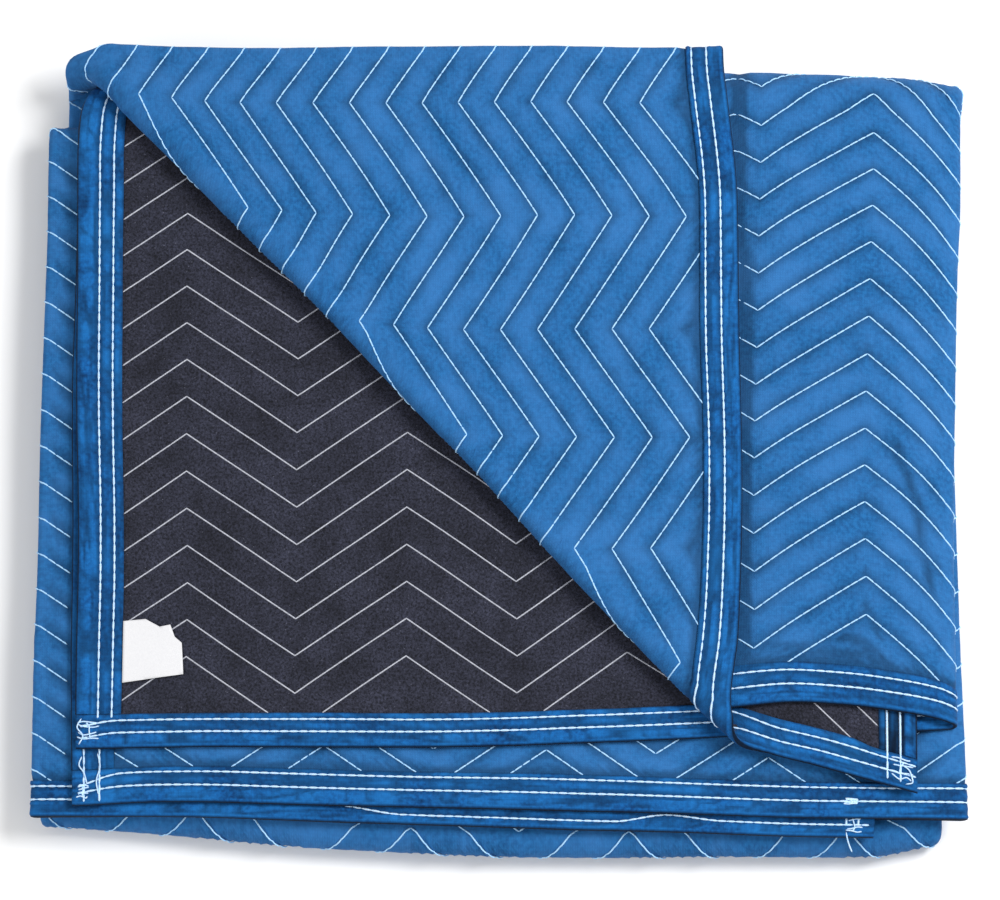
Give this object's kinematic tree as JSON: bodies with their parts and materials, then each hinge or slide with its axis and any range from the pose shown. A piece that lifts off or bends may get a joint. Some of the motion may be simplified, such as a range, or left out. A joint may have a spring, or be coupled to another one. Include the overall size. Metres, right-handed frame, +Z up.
{
  "type": "moving blanket",
  "caption": "Quilted moving blanket, folded into a flat rectangular stack with one front corner turned back to show its dark reverse.",
  "frame": {"origin": "middle of the stack's outline, on the surface that it lies on", "axes": "+X along the longer side of the folded stack, to the right as seen from its open front; +Y towards the rear fold; +Z up through the layers"},
  "size_m": [0.6466, 0.558, 0.0746],
  "materials": {
    "blue_cloth": "matte woven polyester",
    "black_cloth": "matte nonwoven felt",
    "blue_binding": "matte woven edging",
    "white_label": "smooth bare label cloth"
  },
  "bodies": {
    "root": {"face_panel": "blue_cloth", "back_panel": "black_cloth", "front_binding": "blue_binding", "lower_binding": "blue_binding", "left_binding": "blue_binding", "tucked_binding": "blue_binding", "label": "white_label"}
  },
  "joints": []
}
